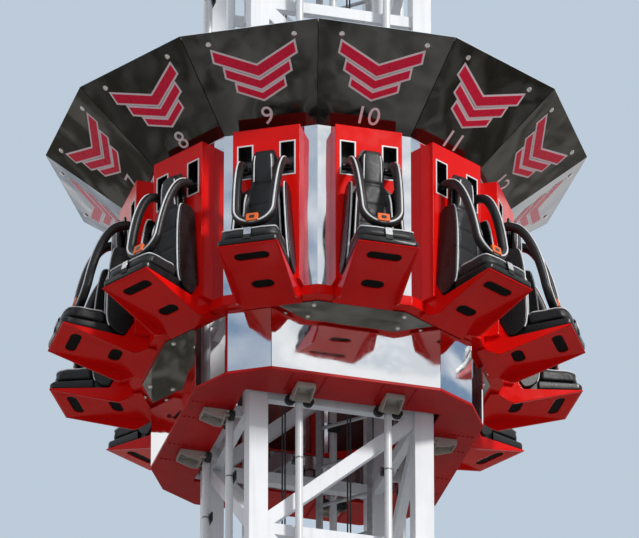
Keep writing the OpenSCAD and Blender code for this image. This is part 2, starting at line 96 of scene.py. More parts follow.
def finish(name, colour, patch=0.85, rough=(0.3, 0.45), metallic=0.0, clear=0.0, cloud=2.0,
           grain=260.0, depth=0.0002, streak=0.0, wave=0.0, shine=0.5, edge=0.0):
    """A coat on a whole piece. Colour: patches between the colour and patch times it, darkened
    by long vertical streaks. Roughness: between the two values by finer clouds. Bump: fine
    grain of the given depth in metres, broad waves of wave metres as thin sheet has, and
    edges that catch the light as if rounded to edge metres. shine is the mirror share."""
    material = bpy.data.materials.new(name)
    material.use_nodes = True
    tree = material.node_tree
    shader = tree.nodes["Principled BSDF"]
    shader.inputs["Metallic"].default_value = metallic
    shader.inputs["Coat Weight"].default_value = clear
    shader.inputs["Coat Roughness"].default_value = 0.06
    shader.inputs["Specular IOR Level"].default_value = shine
    place = object_place(tree)
    patches = between(tree, noise(tree, place, cloud, 5.0), 0.35, 0.7)
    tone = blend(tree, patches, rgba(colour), rgba(colour, patch))
    if streak:
        runs = between(tree, noise(tree, place, 14.0, 6.0, (1.0, 1.0, 0.05)), 0.52, 0.78, 0.0, streak)
        tone = blend(tree, runs, tone, rgba(colour, 0.42))
    tree.links.new(tone, shader.inputs["Base Color"])
    dull = between(tree, noise(tree, place, cloud * 6.0), 0.3, 0.7, rough[0], rough[1])
    tree.links.new(dull, shader.inputs["Roughness"])
    bump = node(tree, "Bump", {"Height": noise(tree, place, grain, 2.0), "Distance": depth,
                               "Strength": 0.6})
    if edge:
        rounding = node(tree, "Bevel", {"Radius": edge}, samples=4)
        tree.links.new(rounding.outputs[0], bump.inputs["Normal"])
    if wave:
        bump = node(tree, "Bump", {"Height": noise(tree, place, 2.2, 1.0), "Distance": wave,
                                   "Strength": 1.0, "Normal": bump.outputs[0]})
    tree.links.new(bump.outputs[0], shader.inputs["Normal"])
    return material


def repaint(material, amount, colour):
    """A coat's own colour gives way to another one, as amount goes from 0 to 1."""
    tree = material.node_tree
    socket = tree.nodes["Principled BSDF"].inputs["Base Color"]
    tree.links.new(blend(tree, amount, socket.links[0].from_socket, colour), socket)


def dress(names, material):
    """CAD nodes whose shape is right keep it, and take a material on their own slots."""
    for name in names:
        for holder in nodes[name].material_slots:
            holder.link = "OBJECT"
            holder.material = material


FACES = ("front", "right", "back", "left")
QUARTERS = (0, 90, 180, 270)
mast_paint = finish("mast_white_paint", (0.83, 0.85, 0.88), 0.90, (0.32, 0.46), streak=0.30, shine=0.4,
                    edge=0.006)
dress(["mast_columns", "base_frame", "mast_head"] + ["bracing_" + side for side in FACES], mast_paint)

# Foot: anchor studs through the four corner flanges
# Galvanised studs with hex nuts on washers, four to each flange, as such a mast is bolted down.

def turned(points, degrees):
    """Points turned about the mast's axis: x cos a - y sin a, x sin a + y cos a, z."""
    c, s = math.cos(math.radians(degrees)), math.sin(math.radians(degrees))
    return points @ np.array([[c, s, 0.0], [-s, c, 0.0], [0.0, 0.0, 1.0]])


def placed(shape, origin, right=(1, 0, 0), up=(0, 1, 0)):
    """A shape set at origin, with its own x along right, its y along up and its z along their
    cross product."""
    right = np.array(right, float) / np.linalg.norm(right)
    up = np.array(up, float) - np.dot(up, right) * right
    up /= np.linalg.norm(up)
    axes = np.array([right, up, np.cross(right, up)])
    return shape[0] @ axes + np.array(origin, float), shape[1]


def joined(shapes):
    """Several shapes as one: the points in one list, each shape's faces counted on."""
    points, faces, count = [], [], 0
    for some, blocks in shapes:
        points.append(some)
        faces += [np.asarray(block) + count for block in blocks]
        count += len(some)
    return np.vstack(points), faces


def pair(shape, x, y, z, *way):
    """A shape placed twice, at y and at -y."""
    return joined([placed(shape, (x, side * y, z), *way) for side in (-1, 1)])


def round_mast(shape, angles):
    """Copies of a shape, turned about the mast's axis by each angle in degrees."""
    return joined([(turned(shape[0], angle), shape[1]) for angle in angles])


def grid_faces(rows, columns, both=False):
    """Quads between neighbours on a grid of rows by columns. The last column joins the
    first, and with both the last row joins the first as well."""
    row, column = np.meshgrid(np.arange(rows if both else rows - 1), np.arange(columns), indexing="ij")
    row_after, column_after = (row + 1) % rows, (column + 1) % columns
    quads = [row * columns + column, row * columns + column_after,
             row_after * columns + column_after, row_after * columns + column]
    return np.stack([quad.ravel() for quad in quads], 1)


def closed_form(rings):
    """A closed skin over a stack of rings, given as an array of rows by points by 3. The first
    and the last ring are each closed by one flat face."""
    rows, columns = rings.shape[:2]
    first, last = np.arange(columns)[::-1], (rows - 1) * columns + np.arange(columns)
    return rings.reshape(-1, 3), [grid_faces(rows, columns), first[None], last[None]]


def circle(count):
    """The points (cos a, sin a) round a circle of radius 1."""
    a = np.arange(count) * 2 * np.pi / count
    return np.column_stack([np.cos(a), np.sin(a)])


def stacked(levels):
    """Rings of points in x and y, each at its height z, as an array of rows by points by 3."""
    return np.array([np.column_stack([ring, np.full(len(ring), float(z))]) for ring, z in levels])


def lathe(profile, sides):
    """A closed solid of revolution about z: each profile point (radius, height) becomes a ring
    of radius times (cos a, sin a)."""
    return closed_form(stacked([(radius * circle(sides), z) for radius, z in profile]))


def slab(outline, low, high):
    """A flat plate: the outline, counterclockwise in x and y, carried along z from low to high."""
    return closed_form(stacked([(outline, low), (outline, high)]))


def as_object(name, shape):
    """A new object at the origin, with the shape's points and faces in its mesh."""
    mesh = bpy.data.meshes.new(name)
    mesh.from_pydata(shape[0].tolist(), [], [row for block in shape[1] for row in block.tolist()])
    made = bpy.data.objects.new(name, mesh)
    scene.collection.objects.link(made)
    return made


def piece(name, shape, body, material, edge=0.0, crease=35.0):
    """A new piece at the origin with its place in its mesh. edge is the width of its bevels
    in metres, and faces that meet at less than crease degrees shade as one."""
    made = as_object(name, shape)
    made.data.materials.append(material)
    made.data.shade_smooth()
    made.data.set_sharp_from_angle(angle=math.radians(crease))
    if edge:
        bevel = made.modifiers.new("edges", "BEVEL")
        bevel.width, bevel.segments, bevel.limit_method = edge, 2, "ANGLE"
    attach(made, body)
    return made


# Ways to set a shape: with its y pointing up, or turned over about its x
UPRIGHT = ((1, 0, 0), (0, 0, 1))
UPSIDE_DOWN = ((1, 0, 0), (0, -1, 0))


def hex_bolt(radius, head, washer=0.003):
    """A hexagon head on a round washer, standing on z = 0."""
    disc = lathe([(radius * 1.35, 0), (radius * 1.35, washer)], 16)
    top = lathe([(radius, washer), (radius, head * 0.85), (radius * 0.86, head)], 6)
    return joined([disc, top])


zinc = finish("zinc_plate", (0.55, 0.56, 0.57), 0.7, (0.25, 0.5), metallic=1.0, cloud=30.0)
flange_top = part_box("base_frame")[1].z
anchor = joined([hex_bolt(0.024, 0.024), lathe([(0.013, 0.02), (0.013, 0.05), (0.011, 0.053)], 12)])
column_at, stud_out = 0.55, 0.115
corners = [(sx * column_at + ox * stud_out, sy * column_at + oy * stud_out)
           for sx in (-1, 1) for sy in (-1, 1) for ox in (-1, 1) for oy in (-1, 1)]
anchors = joined([placed(anchor, (x, y, flange_top)) for x, y in corners])
piece("anchor_studs", anchors, "mast", zinc)

# Guide rails: white pipes with a butt joint in the middle of every bay
# Two pipes on each face. The joint shows as a thin dark ring, and a small clamp with two
# bolts holds it from behind, clear of the rollers.

first_bay, bay, bays = 0.18, 0.97, 12
rail_x, pipe_r = 0.295, 0.025
rail_y = -(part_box("mast_columns")[1].x + 0.047)
rail_paint = finish("rail_white_paint", (0.78, 0.80, 0.82), 0.85, (0.22, 0.34), clear=0.3, streak=0.5)
rail_tree = rail_paint.node_tree
height = node(rail_tree, "SeparateXYZ", {"Vector": object_place(rail_tree)}).outputs["Z"]
turns = node(rail_tree, "MapRange", {"Value": height, "From Min": first_bay, "From Max": first_bay + bay,
                                     "To Min": 0.0, "To Max": 1.0}, clamp=False).outputs[0]
off_joint = calc(rail_tree, "SUBTRACT", calc(rail_tree, "FRACT", turns), 0.5)
in_joint = calc(rail_tree, "LESS_THAN", calc(rail_tree, "ABSOLUTE", off_joint), 0.005)
repaint(rail_paint, in_joint, (0.06, 0.06, 0.06, 1.0))
dress(["guide_rails_" + side for side in FACES], rail_paint)


def block(low, high):
    """A box between two corners."""
    (x0, y0, z0), (x1, y1, z1) = low, high
    return slab([(x0, y0), (x1, y0), (x1, y1), (x0, y1)], z0, z1)


bar_half, bar_tall, bar_thick = 0.045, 0.03, 0.006
bar = block((-bar_half, -bar_tall, -bar_thick), (bar_half, bar_tall, bar_thick))
bar_back = rail_y + pipe_r
clamp = joined([placed(bar, (0, bar_back + bar_thick, 0), *UPRIGHT)]
               + [placed(hex_bolt(0.008, 0.008), (x, bar_back, 0), *UPRIGHT) for x in (-0.034, 0.034)])
one_face = joined([(clamp[0] + (side * rail_x, 0, first_bay + (k + 0.5) * bay), clamp[1])
                   for side in (-1, 1) for k in range(bays)])
dark_steel = finish("dark_steel", (0.045, 0.045, 0.048), 0.6, (0.35, 0.55), metallic=0.6, cloud=9.0)
piece("rail_joint_clamps", round_mast(one_face, QUARTERS), "mast", dark_steel)

# Sheaves, lifting cables and ladder
# Grooved sheaves in dark paint, which the canopy's ribs share, and a galvanised ladder up one
# corner. Two wire ropes with a twisted lay run from the base frame over the sheaves and down
# again, deep in their grooves. They are thinner than the solids of the cables.

dress(["head_sheaves", "canopy_ribs"], dark_steel)
rope = finish("wire_rope", (0.10, 0.10, 0.105), 0.5, (0.4, 0.6), metallic=0.8, cloud=25.0)
rope_tree = rope.node_tree
rope_place = node(rope_tree, "Mapping", {"Vector": object_place(rope_tree),
                                         "Rotation": (0.5, 0.5, 0.0)}).outputs[0]
lay = node(rope_tree, "TexWave", {"Vector": rope_place, "Scale": 55.0, "Distortion": 0.4}, bands_direction="Z")
twist = node(rope_tree, "Bump", {"Height": lay.outputs["Fac"], "Distance": 0.002})
rope_tree.links.new(twist.outputs[0], rope_tree.nodes["Principled BSDF"].inputs["Normal"])
dress(["pivot_shafts"], rope)
ladder_zinc = finish("galvanised_ladder", (0.50, 0.51, 0.52), 0.7, (0.35, 0.55), metallic=0.7, cloud=18.0)
dress(["ladder"], ladder_zinc)

def carried(path, section, across, other):
    """A section carried along a path, closed at both ends: its first distances go along across
    and its second ones along other, two directions square to the path."""
    return closed_form(path[:, None] + section[..., :1] * across[:, None]
                       + section[..., 1:] * other[:, None])


rope_r, rope_lane, rope_sides = 0.0055, 0.2185, 12
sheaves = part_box("head_sheaves")
sheave_z, sheave_apart = (sheaves[0].z + sheaves[1].z) / 2, 0.035
turn = np.radians(np.linspace(0, 180, 49))
out_way = np.column_stack([np.cos(turn), 0 * turn, np.sin(turn)])
out_way = np.vstack([out_way[:1], out_way, out_way[-1:]])
rope_way = out_way * rope_lane + (0, 0, sheave_z)
rope_way[[0, -1], 2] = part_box("lift_cables")[0].z
one_rope = carried(rope_way, rope_r * circle(rope_sides), out_way, out_way * 0 + (0, 1, 0))
ropes = pair(one_rope, 0, sheave_apart, 0)
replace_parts(piece("wire_ropes", ropes, "mast", rope, crease=80.0), "lift_cables")

# Ring: top ring, posts, hangers and lower plate in dark red paint
# Steel frame under the panels. The lower plate hangs below it, and its underside carries
# rows of small bolt heads where the roller brackets are held, painted over.

deep_red = (0.52, 0.005, 0.006)
frame_paint = finish("frame_dark_red_paint", deep_red, 0.74, (0.34, 0.46), streak=0.2, shine=0.15,
                     edge=0.004)
dress(["top_ring", "ring_posts", "plate_hangers", "lower_plate"], frame_paint)
plate_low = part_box("lower_plate")[0].z
rows = joined([placed(hex_bolt(0.007, 0.005, 0.0015), (out, beside, plate_low), *UPSIDE_DOWN)
               for beside in (-0.405, -0.19, 0.19, 0.405) for out in np.linspace(0.72, 0.93, 8)])
piece("plate_bolt_rows", round_mast(rows, QUARTERS), "carriage", frame_paint)

# Roller brackets and rollers
# Brackets folded from plate, open below, carry black polyurethane rollers on steel pins. The
# upper ones are held out to the ring's posts by an arm.

bracket_paint = finish("bracket_brown_paint", (0.50, 0.45, 0.40), 0.75, (0.35, 0.5), streak=0.3,
                       edge=0.004)
rubber = finish("roller_rubber", (0.018, 0.018, 0.019), 0.6, (0.5, 0.75), cloud=20.0, depth=0.0004)
dress(["guide_rollers"], rubber)
bracket_face, pin_half = -rail_y + pipe_r + 0.015, 0.0605
bracket_long, bracket_low, bracket_tall, fold = 0.145, 0.012, 0.080, 0.006
taper_from, end_low = 0.046, 0.046
web_outline = [(0.0, bracket_low), (taper_from, bracket_low), (bracket_long, end_low),
               (bracket_long, bracket_tall), (0.0, bracket_tall)]
webs = pair(slab(web_outline, -fold / 2, fold / 2), 0, pin_half - fold / 2, 0, *UPRIGHT)
within = pin_half - fold
crown = block((fold, -within, bracket_tall - fold), (bracket_long - fold, within, bracket_tall))
cheek = block((0.0, -within, bracket_low), (fold, within, bracket_tall))
end_plate = block((bracket_long - fold, -within, end_low), (bracket_long, within, bracket_tall))
pin = lathe([(0.009, -0.040), (0.009, fold), (0.015, fold), (0.015, fold + 0.010)], 16)
pins = pair(pin, 0, pin_half * 0.99, bracket_tall / 2, (0, 0, -1), (0, 1, 0))
bracket = joined([webs, crown, cheek, end_plate, pins])
arm_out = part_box("roller_brackets")[1].x - bracket_face
post_arm = block((bracket_long - fold, -0.030, 0.010), (arm_out, 0.030, bracket_tall - 0.010))
lower_z, upper_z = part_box("roller_brackets")[0].z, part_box("roller_brackets")[1].z - bracket_tall
bolt_z = lower_z + bracket_tall - fold
brackets, bolts = [], []
for side in (-1, 1):
    for z, shape in ((lower_z, bracket), (upper_z, joined([bracket, post_arm]))):
        brackets.append(placed(shape, (bracket_face, side * rail_x, z)))
    for out in (0.045, 0.11):
        for beside in (-0.03, 0.03):
            bolts.append(placed(hex_bolt(0.010, 0.009),
                                (bracket_face + out, side * rail_x + beside, bolt_z), *UPSIDE_DOWN))
folded = piece("folded_brackets", round_mast(joined(brackets), QUARTERS), "carriage", bracket_paint,
               edge=0.0015)
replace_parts(folded, "roller_brackets")
piece("bracket_bolts", round_mast(joined(bolts), QUARTERS), "carriage", zinc)

# Mirror strips and skirt: thin polished sheet
# Stainless sheet polished to a mirror. It is thin enough to show broad waves.

mirror = finish("polished_sheet", (0.86, 0.88, 0.90), 0.93, (0.03, 0.10), metallic=1.0, cloud=3.0,
                grain=60.0, depth=0.00005, wave=0.012)
dress(["mirror_strips", "mirror_skirt"], mirror)

# Smoked panels under the ring
# Smoked plastic sheets on four sides, held up by bright dome-headed screws.

smoked = finish("smoked_sheet", (0.040, 0.038, 0.028), 0.55, (0.05, 0.12), clear=1.0, wave=0.035,
                shine=0.7)
dress(["smoked_panels"], smoked)
smoked_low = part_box("smoked_panels")[0].z
dome = lathe([(0.016, 0), (0.016, 0.004), (0.013, 0.009), (0.006, 0.012)], 16)
screw_out = 1.035
screws = joined([placed(dome, (screw_out, beside, smoked_low), *UPSIDE_DOWN)
                 for beside in (-0.45, -0.30, 0.30, 0.45)])
bright = finish("bright_screw", (0.85, 0.85, 0.86), 0.9, (0.12, 0.2), metallic=1.0, cloud=40.0)
piece("smoked_panel_screws", round_mast(screws, QUARTERS), "carriage", bright)

# Bottom ring and red seat panels
# Moulded panels and a rolled band in glossy red. Each panel has two tall windows, lined in
# black, with a white painted frame around each. The backs of the panels, turned to the mast,
# are painted nearly black: painted shade for the carriage's inside.

bright_red = (0.84, 0.007, 0.005)
red_gloss = finish("red_gloss", bright_red, 0.86, (0.12, 0.22), wave=0.004, shine=0.12, edge=0.010)
dress(["bottom_ring", "seat_pods"], red_gloss)
panel_paint = finish("panel_red_gloss", bright_red, 0.86, (0.12, 0.22), wave=0.004, shine=0.16, edge=0.010)
panel_tree = panel_paint.node_tree
panel_normal = node(panel_tree, "NewGeometry").outputs["Normal"]
from_mast = node(panel_tree, "VectorMath", {0: object_place(panel_tree), 1: (1.0, 1.0, 0.0)},
                 operation="MULTIPLY").outputs[0]
outwards = node(panel_tree, "VectorMath", {0: from_mast, 1: panel_normal},
                operation="DOT_PRODUCT").outputs["Value"]
# Painted shade: faces turned in towards the mast take a red so dark it is nearly black.
repaint(panel_paint, calc(panel_tree, "LESS_THAN", outwards, -0.3), (0.060, 0.004, 0.004, 1.0))
dress(["seat_panels"], panel_paint)
CARRIAGE_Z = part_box("top_ring")[1].z
SEATS = np.arange(12) * 30.0
CORNERS = np.array([(-1, -1), (1, -1), (1, 1), (-1, 1)])


def frame_shape(width, height, band, thick):
    """A flat rectangular frame round a hole width by height: the corners of the hole and of
    the outer edge, on both faces, joined all the way round."""
    inner = CORNERS * (width / 2, height / 2)
    outer = inner + CORNERS * band
    rings = stacked([(inner, 0), (outer, 0), (outer, thick), (inner, thick)])
    return rings.reshape(-1, 3), [grid_faces(4, 4, both=True)]


def tray(width, height, depth, wall):
    """An open tray: an outer box and an inner one a wall smaller, joined by a flat rim. Its
    mouth is at z = 0 and it reaches down to -depth."""
    outer = CORNERS * (width / 2, height / 2)
    inner = outer - CORNERS * wall
    return closed_form(stacked([(outer, -depth), (outer, 0), (inner, 0), (inner, wall - depth)]))


white_line = finish("white_line_paint", (0.82, 0.80, 0.80), 0.9, (0.3, 0.4), cloud=12.0)
black_gloss = finish("black_gloss", (0.010, 0.010, 0.012), 0.5, (0.10, 0.22), clear=0.5)
panel_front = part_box("seat_panels")[1].x
window_mid, window_top, window_w, window_h = 0.1405, -0.164, 0.090, 0.236
window_z = CARRIAGE_Z + window_top - window_h / 2


def at_windows(shape):
    """A shape set at both windows of a seat panel, with its z out of the panel."""
    return pair(shape, panel_front, window_mid, window_z, (0, 1, 0), (0, 0, 1))


frames = at_windows(frame_shape(window_w, window_h, 0.009, 0.002))
piece("window_frames", round_mast(frames, SEATS), "carriage", white_line)
linings = at_windows(tray(window_w - 0.001, window_h - 0.001, 0.098, 0.003))
piece("window_linings", round_mast(linings, SEATS), "carriage", black_gloss)

# Canopy: black gloss panels that lean out over the seats
# Twelve moulded panels, glossy black on the outside, where their slight creases break up what
# they mirror. Their inside, facing up, is painted pale blue-grey, a painted reflection of the sky.
# Each carries a plain emblem of three crimson chevrons that point down, edged in pale pink, and
# its seat's number.

canopy = finish("canopy_black_gloss", (0.010, 0.010, 0.008), 0.5, (0.05, 0.10), clear=0.6, cloud=5.0,
                wave=0.030, shine=0.7)
canopy_tree = canopy.node_tree
canopy_normal = node(canopy_tree, "NewGeometry").outputs["Normal"]
facing_up = node(canopy_tree, "SeparateXYZ", {"Vector": canopy_normal}).outputs["Z"]
# Painted reflection: faces turned up, the canopy's inside, take a pale blue-grey for the sky.
repaint(canopy, calc(canopy_tree, "GREATER_THAN", facing_up, 0.3), (0.42, 0.50, 0.58, 1.0))
bent = canopy_tree.nodes["Principled BSDF"].inputs["Normal"]
creases = noise(canopy_tree, object_place(canopy_tree), 3.6, 1.5, (1.0, 1.0, 0.6))
creased = node(canopy_tree, "Bump", {"Height": creases, "Distance": 0.008, "Strength": 1.0,
                                     "Normal": bent.links[0].from_socket})
canopy_tree.links.new(creased.outputs[0], bent)
dress(["canopy_panels"], canopy)

corner_in, corner_out, rise = 1.200, 1.778, 0.456
to_flat = math.cos(math.radians(15))
low_u, run_u = corner_in * to_flat, (corner_out - corner_in) * to_flat
slant = math.hypot(run_u, rise)
up_panel = (run_u / slant, 0.0, rise / slant)
foot_of_panel = np.array((low_u, 0.0, CARRIAGE_Z))


def on_panel(shape):
    """A flat shape moved to the canopy: x across the panel, y up its slope, z out of it."""
    return placed(shape, foot_of_panel, (0, 1, 0), up_panel)


def chevron(half, top, tip, deep, grow, low, high):
    """A V band that points down: two sloping bars that meet in the middle, grown by grow."""
    slope = (top - tip) / half
    lift = grow * math.hypot(1.0, slope)
    h, foot, tall = half + grow, tip - lift, deep + 2 * lift
    side = foot + slope * h
    left = slab([(-h, side), (0, foot), (0, foot + tall), (-h, side + tall)], low, high)
    right = slab([(0, foot), (h, side), (h, side + tall), (0, foot + tall)], low, high)
    return joined([left, right])


# Each band's half width, its lower edge's height at the sides and in the middle, and its depth
BANDS = ((0.270, 0.515, 0.385, 0.070), (0.212, 0.400, 0.296, 0.056), (0.155, 0.298, 0.222, 0.044))
crimson = finish("crimson_film", (0.92, 0.008, 0.060), 0.90, (0.25, 0.35), cloud=6.0, shine=0.3)
pale_pink = finish("pale_pink_film", (0.96, 0.80, 0.83), 0.94, (0.25, 0.35), cloud=6.0, shine=0.3)
edges = joined([chevron(*band, 0.013, -0.0002, 0.0012) for band in BANDS])
fills = joined([chevron(*band, 0.0, 0.0006, 0.0022) for band in BANDS])
piece("chevron_edges", round_mast(on_panel(edges), SEATS), "carriage", pale_pink)
piece("chevron_fills", round_mast(on_panel(fills), SEATS), "carriage", crimson)


def evaluated(holder):
    """An object as its modifiers leave it."""
    return holder.evaluated_get(bpy.context.evaluated_depsgraph_get())


def points_of(mesh):
    """A mesh's points, as rows of x, y and z."""
    flat = np.empty(len(mesh.vertices) * 3)
    mesh.vertices.foreach_get("co", flat)
    return flat.reshape(-1, 3)


def numeral(text, tall):
    """The outline of a number, filled and 1 mm thick, centred on x = 0 with its foot on y = 0."""
    curve = bpy.data.curves.new("numeral", "FONT")
    curve.body, curve.align_x, curve.extrude = text, "CENTER", 0.0005 / tall
    holder = bpy.data.objects.new("numeral", curve)
    scene.collection.objects.link(holder)
    bpy.context.view_layer.update()
    flat = bpy.data.meshes.new_from_object(evaluated(holder))
    points, faces = points_of(flat), [np.array([list(p.vertices)]) for p in flat.polygons]
    bpy.data.objects.remove(holder)
    return points / points[:, 1].max() * tall, faces


number_tall, number_foot, number_out = 0.120, 0.050, 0.0012
numbers = []
for count, angle in enumerate(SEATS):
    sign = placed(numeral(str(count + 1), number_tall), (0, number_foot, number_out))
    numbers.append(round_mast(on_panel(sign), (angle,)))
piece("seat_numbers", joined(numbers), "carriage", pale_pink)
fixing = lathe([(0.018, 0), (0.018, 0.003), (0.014, 0.006), (0.006, 0.007)], 20)
fixing_beside, fixing_down = 0.285, 0.082
fixings = joined([on_panel(placed(fixing, (side * fixing_beside, slant - fixing_down, 0)))
                  for side in (-1, 1)])
piece("canopy_fixings", round_mast(fixings, SEATS), "carriage", bright)

# Seat pods: red mouldings under the seats
# The pod's underside slopes up to its tip and has two long slots. A black plate in each is
# painted shade for the hollow inside.

floor_rear, floor_front = np.array((1.1174, -1.2713)), np.array((1.731, -1.158))
pod_slope = (floor_front - floor_rear) / np.linalg.norm(floor_front - floor_rear)


def rounded(width, height, corner, count=7):
    """A rectangle with round corners, counterclockwise: at each corner in turn, a quarter of
    a circle of the corner's radius about a centre set in by that radius."""
    a = np.radians(np.linspace([0, 90, 180, 270], [90, 180, 270, 360], count, axis=1)).ravel()
    signs = np.repeat([(1, 1), (-1, 1), (-1, -1), (1, -1)], count, 0)
    centres = signs * (width / 2 - corner, height / 2 - corner)
    return centres + corner * np.column_stack([np.cos(a), np.sin(a)])


def slot_floor(u, long, wide):
    """A dark plate in a slot of the pod's floor, painted shade for the hollow behind it, whose
    height at u lies on the line from the floor's rear to its front."""
    z = np.interp(u, (floor_rear[0], floor_front[0]), (floor_rear[1], floor_front[1]))
    plate = slab(rounded(wide - 0.001, long - 0.001, wide / 2 - 0.0005), 0.0060, 0.0095)
    return placed(plate, (u, 0, CARRIAGE_Z + z), (pod_slope[0], 0, pod_slope[1]), (0, 1, 0))


# Each slot's distance from the mast's axis, its length and its width
SLOTS = ((1.625, 0.230, 0.072), (1.347, 0.150, 0.080))
slot_shapes = joined([slot_floor(*place) for place in SLOTS])
# Painted shade: near-black plates stand in for the dark hollows behind the slots.
slot_painted_shade = finish("slot_painted_shade", (0.005, 0.005, 0.005), 0.6, (0.6, 0.8), cloud=12.0, shine=0.1)
piece("pod_slot_floors", round_mast(slot_shapes, SEATS), "carriage", slot_painted_shade)

# Seat shells: backs and wings in black moulding
# Textured black plastic with a low sheen. The wings are thick mouldings with rolled edges
# that lean in towards the shoulders, and a pale piping is clipped along each front edge.

shell = finish("seat_shell_black", (0.011, 0.011, 0.012), 0.6, (0.24, 0.36), grain=420.0, depth=0.0005,
               shine=0.35, edge=0.006)
dress(["seat_backs"], shell)
piping_paint = finish("pale_piping", (0.78, 0.78, 0.80), 0.85, (0.3, 0.4), cloud=30.0)


def smooth(points, each):
    """A smooth curve through points: between each pair, the cubic whose ends' directions are
    half the way from the point before to the point after."""
    longer = np.vstack([2 * points[0] - points[1], points, 2 * points[-1] - points[-2]])
    way = (longer[2:] - longer[:-2]) / 2
    t = np.linspace(0, 1, each, endpoint=False)[None, :, None]
    a, b, u, v = points[:-1, None], points[1:, None], way[:-1, None], way[1:, None]
    curve = (a * (2 * t ** 3 - 3 * t ** 2 + 1) + u * (t ** 3 - 2 * t ** 2 + t)
             + b * (3 * t ** 2 - 2 * t ** 3) + v * (t ** 3 - t ** 2))
    return np.vstack([curve.reshape(-1, points.shape[1]), points[-1:]])


def unit(rows):
    """Each row of an array, divided by its length."""
    return rows / np.linalg.norm(rows, axis=1, keepdims=True)


def tube(path, radius, sides=10):
    """A round cord along a path: each ring lies across the path's own direction, starting
    from a direction that no path here runs along."""
    along = unit(np.gradient(path, axis=0))
    across = unit(np.cross(along, (0.31, 0.17, 0.93)))
    return carried(path, radius * circle(sides), across, np.cross(along, across))


def both_sides(shape):
    """A shape and its mirror image, y to -y, with the image's faces turned round to point out."""
    return joined([shape, (shape[0] * (1, -1, 1), [block[:, ::-1] for block in shape[1]])])


hip_half, shoulder_half, wing_t, wing_foot, wing_top = 0.205, 0.165, 0.022, -1.088, -0.520
lean = math.atan2(hip_half - shoulder_half, wing_top - wing_foot)
# The wing's front edge, from its foot to its top: distances out and heights
wing_edge = smooth(np.array([(1.322, -1.158), (1.345, -1.182), (1.385, -1.172), (1.420, -1.145),
                             (1.442, -1.105), (1.450, -1.050), (1.449, -0.985), (1.443, -0.830),
                             (1.427, -0.660), (1.403, -0.545), (1.375, -0.518), (1.318, -0.516)]), 5)
wing_outline = np.vstack([[(1.281, -1.085), (1.300, -1.118)], wing_edge, [(1.300, -0.530), (1.281, -0.560)]])


def on_wing(points):
    """Points given by distance out, place across the wing's thickness and height, leaned in
    about the wing's foot: v is the hip's half width plus across cos a less up sin a."""
    across, up = points[:, 1] - wing_t / 2, points[:, 2] - wing_foot
    return np.column_stack([points[:, 0], hip_half + across * math.cos(lean) - up * math.sin(lean),
                            CARRIAGE_Z + wing_foot + across * math.sin(lean) + up * math.cos(lean)])


flat_wing = placed(slab(wing_outline, -wing_t / 2, wing_t / 2), (0, 0, 0), *UPRIGHT)
wings = both_sides((on_wing(flat_wing[0]), flat_wing[1]))
wing_shells = piece("wing_shells", round_mast(wings, SEATS), "carriage", shell, edge=0.005)
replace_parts(wing_shells, "seat_wings")
piped_edge, proud, inwards = wing_edge[18:52], 0.001, -0.004
wing_line = on_wing(np.column_stack([piped_edge[:, 0] + proud, np.full(len(piped_edge), inwards),
                                     piped_edge[:, 1]]))
wing_pipes = both_sides(tube(wing_line, 0.0055))
piece("wing_piping", round_mast(wing_pipes, SEATS), "carriage", piping_paint, crease=80.0)

# Seat pans
# The part in front of the wings follows the pod's lip below and the cushion above, and its
# front corners are round. The part between the wings reaches back to the panel.


def at_seat(shape, angle):
    """A shape whose heights count from the top ring's top, raised there and turned by angle."""
    return turned(shape[0] + (0, 0, CARRIAGE_Z), angle), shape[1]


def at_seats(shape):
    """Such a shape at all twelve seats."""
    return joined([at_seat(shape, angle) for angle in SEATS])


pan_u = np.concatenate([[1.4491, 1.50, 1.60, 1.68, 1.706], 1.712 + 0.037 * np.sin(np.linspace(0, 1.5, 9))])
pan_low = np.interp(pan_u, (1.4491, 1.739, 1.751), (-1.1808, -1.1457, -1.138))
pan_high = np.interp(pan_u, (1.4491, 1.712, 1.744), (-1.118, -1.098, -1.106))
corner_past = np.clip((pan_u - 1.711) / 0.040, 0, 1)
pan_half = 0.201 - 0.040 * (1 - np.sqrt(1 - corner_past ** 2))
pan_rings = []
for u, low_z, high_z, half in zip(pan_u, pan_low, pan_high, pan_half):
    ring = rounded(2 * half, high_z - low_z, 0.010, 5)
    ring_z = ring[:, 1] + (low_z + high_z) / 2
    pan_rings.append(np.column_stack([np.full(len(ring), u), ring[:, 0], ring_z]))
rear_half, rear_side = 0.182, [(1.3074, -1.147), (1.3311, -1.189), (1.3431, -1.1937), (1.4500, -1.1807),
                               (1.4500, -1.118), (1.3074, -1.103)]
rear_pan = placed(slab(rear_side, -rear_half, rear_half), (0, 0, 0), *UPRIGHT)
pans = at_seats(joined([closed_form(np.array(pan_rings)), rear_pan]))
seat_pans = piece("seat_pans", pans, "carriage", shell)
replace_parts(seat_pans, "seat_bases")

# Seat cushions and back cushions: black vinyl over foam
# Each is a sewn cover, crowned by its foam, with channels and pale piping along its edges.
# They are worked out as smooth closed forms and filled by a short cloth run.

vinyl = finish("cushion_vinyl", (0.012, 0.012, 0.013), 0.7, (0.34, 0.48), cloud=8.0, grain=700.0,
               depth=0.0008, shine=0.4)


def superellipse(count, power):
    """Points round a unit form |x|^p + |y|^p = 1, from a circle at 2 to nearly a square."""
    ring = circle(count)
    return np.sign(ring) * np.abs(ring) ** (2 / power)


